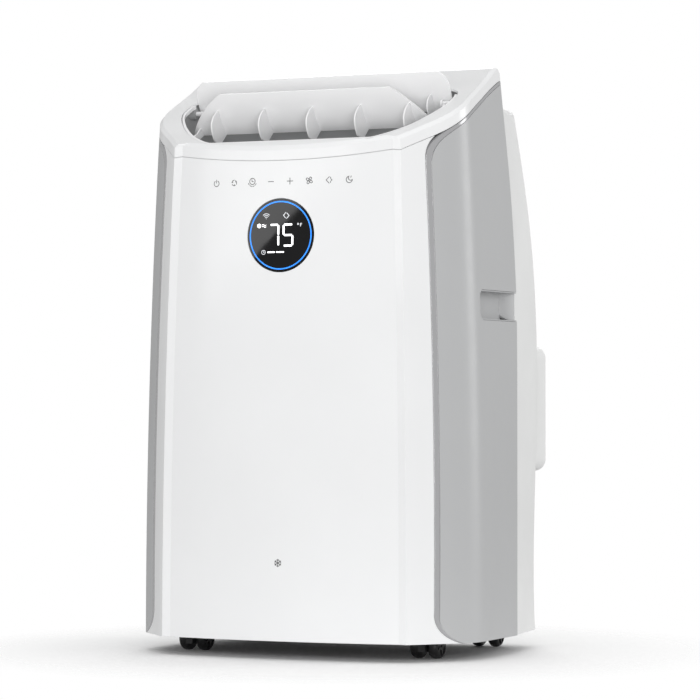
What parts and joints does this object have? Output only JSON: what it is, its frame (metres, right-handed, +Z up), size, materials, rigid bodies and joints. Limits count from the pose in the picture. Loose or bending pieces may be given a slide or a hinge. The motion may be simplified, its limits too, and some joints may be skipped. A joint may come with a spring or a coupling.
{
  "type": "portable air conditioner",
  "caption": "Floor-standing portable air conditioner: tapered white cabinet, sloped top outlet with tilting finned louvers, round display, side grips, rear exhaust collar and casters.",
  "frame": {"origin": "on the floor, under the middle of the whole box", "axes": "+Z up, front with the display faces -Y, +X to the right seen from the front"},
  "size_m": [0.4478, 0.3765, 0.7144],
  "materials": {
    "black_glass": "gloss black lens",
    "black_plastic": "black moulded plastic",
    "bright_trim": "bright bevelled edge strip",
    "circuit_green": "circuit board",
    "coil_aluminium": "aluminium fins",
    "compressor_black": "black painted steel shell",
    "copper": "drawn copper tube",
    "duct_grey": "satin grey plastic",
    "filter_mesh": "fine woven plastic mesh",
    "gloss_shell": "smooth glossy white moulded plastic",
    "grey_shell": "satin pale grey moulded plastic",
    "grip_grey": "matt pale grey recess",
    "light_guide": "blue lit light guide",
    "louver_white": "satin translucent white plastic",
    "motor_metal": "plated steel can",
    "pan_grey": "dark grey moulded tray",
    "rear_white": "fine-textured white plastic",
    "rubber_black": "soft rubber",
    "screw_steel": "zinc-plated steel",
    "wheel_black": "hard black caster wheels"
  },
  "bodies": {
    "cabinet": {"base_pan": "pan_grey", "capillary_tube": "copper", "casing_screws": "screw_steel", "compressor": "compressor_black", "compressor_feet": "rubber_black", "condenser_coil": "coil_aluminium", "condenser_fan_motor": "motor_metal", "condenser_scroll": "duct_grey", "control_board": "circuit_green", "control_box": "black_plastic", "cord_gland": "black_plastic", "discharge_pipe": "copper", "display_board": "circuit_green", "display_lens": "black_glass", "display_light_ring": "light_guide", "drain_spout": "rear_white", "drip_tray": "pan_grey", "evaporator_coil": "coil_aluminium", "evaporator_fan_motor": "motor_metal", "evaporator_scroll": "duct_grey", "exhaust_collar": "rear_white", "exhaust_duct": "duct_grey", "front_panel": "gloss_shell", "left_grip_cup": "grip_grey", "left_panel_trim": "bright_trim", "left_side_panel": "grey_shell", "louver_motor": "motor_metal", "middle_deck": "pan_grey", "outlet_duct": "duct_grey", "outlet_ring": "louver_white", "rear_casing": "rear_white", "right_grip_cup": "grip_grey", "right_panel_trim": "bright_trim", "right_side_panel": "grey_shell", "run_capacitor": "motor_metal", "slinger_motor": "motor_metal", "suction_accumulator": "compressor_black", "suction_pipe": "copper", "top_cover": "gloss_shell", "touch_key_board": "circuit_green"},
    "front_louver": {"front_louver": "louver_white"},
    "rear_louver": {"rear_louver": "louver_white"},
    "louver_link": {"louver_link": "black_plastic"},
    "condenser_blower": {"condenser_blower": "black_plastic"},
    "evaporator_blower": {"evaporator_blower": "black_plastic"},
    "slinger_wheel": {"slinger_wheel": "black_plastic"},
    "upper_grille": {"upper_inlet_grille": "rear_white", "upper_filter": "filter_mesh"},
    "lower_grille": {"lower_inlet_grille": "rear_white", "lower_filter": "filter_mesh"},
    "drain_plug": {"drain_plug": "rubber_black"},
    "front_left_caster": {"front_left_caster_yoke": "black_plastic"},
    "front_left_wheels": {"front_left_caster_wheels": "wheel_black"},
    "front_right_caster": {"front_right_caster_yoke": "black_plastic"},
    "front_right_wheels": {"front_right_caster_wheels": "wheel_black"},
    "rear_left_caster": {"rear_left_caster_yoke": "black_plastic"},
    "rear_left_wheels": {"rear_left_caster_wheels": "wheel_black"},
    "rear_right_caster": {"rear_right_caster_yoke": "black_plastic"},
    "rear_right_wheels": {"rear_right_caster_wheels": "wheel_black"}
  },
  "joints": [
    {"name": "front_louver_tilt", "type": "hinge", "parent": "cabinet", "child": "front_louver", "pos_m": [0, -0.1066, 0.6317], "axis": [1, 0, 0], "range_deg": [0, 88]},
    {"name": "rear_louver_tilt", "type": "hinge", "parent": "cabinet", "child": "rear_louver", "pos_m": [0, -0.0635, 0.6662], "axis": [1, 0, 0], "range_deg": [0, 88]},
    {"name": "louver_link_swing", "type": "hinge", "parent": "front_louver", "child": "louver_link", "pos_m": [0.167, -0.1066, 0.6177], "axis": [1, 0, 0], "range_deg": [-88, 0]},
    {"name": "condenser_blower_spin", "type": "hinge", "parent": "cabinet", "child": "condenser_blower", "pos_m": [0.04, 0.044, 0.165], "axis": [0, 1, 0], "continuous": true},
    {"name": "evaporator_blower_spin", "type": "hinge", "parent": "cabinet", "child": "evaporator_blower", "pos_m": [0, -0.075, 0.5], "axis": [0, 1, 0], "continuous": true},
    {"name": "slinger_wheel_spin", "type": "hinge", "parent": "cabinet", "child": "slinger_wheel", "pos_m": [-0.06, 0.075, 0.066], "axis": [0, 1, 0], "continuous": true},
    {"name": "upper_grille_pull", "type": "slide", "parent": "cabinet", "child": "upper_grille", "axis": [0, 1, 0], "range_m": [0, 0.06]},
    {"name": "lower_grille_pull", "type": "slide", "parent": "cabinet", "child": "lower_grille", "axis": [0, 1, 0], "range_m": [0, 0.06]},
    {"name": "drain_plug_pull", "type": "slide", "parent": "cabinet", "child": "drain_plug", "axis": [0, 1, 0], "range_m": [0, 0.03]},
    {"name": "front_left_caster_swivel", "type": "hinge", "parent": "cabinet", "child": "front_left_caster", "pos_m": [-0.1554, -0.109, 0.03], "axis": [0, 0, 1], "continuous": true},
    {"name": "front_left_wheels_roll", "type": "hinge", "parent": "front_left_caster", "child": "front_left_wheels", "pos_m": [-0.1554, -0.097, 0.016], "axis": [1, 0, 0], "continuous": true},
    {"name": "front_right_caster_swivel", "type": "hinge", "parent": "cabinet", "child": "front_right_caster", "pos_m": [0.1554, -0.109, 0.03], "axis": [0, 0, 1], "continuous": true},
    {"name": "front_right_wheels_roll", "type": "hinge", "parent": "front_right_caster", "child": "front_right_wheels", "pos_m": [0.1554, -0.097, 0.016], "axis": [1, 0, 0], "continuous": true},
    {"name": "rear_left_caster_swivel", "type": "hinge", "parent": "cabinet", "child": "rear_left_caster", "pos_m": [-0.15, 0.092, 0.03], "axis": [0, 0, 1], "continuous": true},
    {"name": "rear_left_wheels_roll", "type": "hinge", "parent": "rear_left_caster", "child": "rear_left_wheels", "pos_m": [-0.15, 0.104, 0.016], "axis": [1, 0, 0], "continuous": true},
    {"name": "rear_right_caster_swivel", "type": "hinge", "parent": "cabinet", "child": "rear_right_caster", "pos_m": [0.15, 0.092, 0.03], "axis": [0, 0, 1], "continuous": true},
    {"name": "rear_right_wheels_roll", "type": "hinge", "parent": "rear_right_caster", "child": "rear_right_wheels", "pos_m": [0.15, 0.104, 0.016], "axis": [1, 0, 0], "continuous": true}
  ],
  "couplings": [
    {"joint": "rear_louver_tilt", "follows": "front_louver_tilt", "ratio": 1},
    {"joint": "louver_link_swing", "follows": "front_louver_tilt", "ratio": -1}
  ]
}
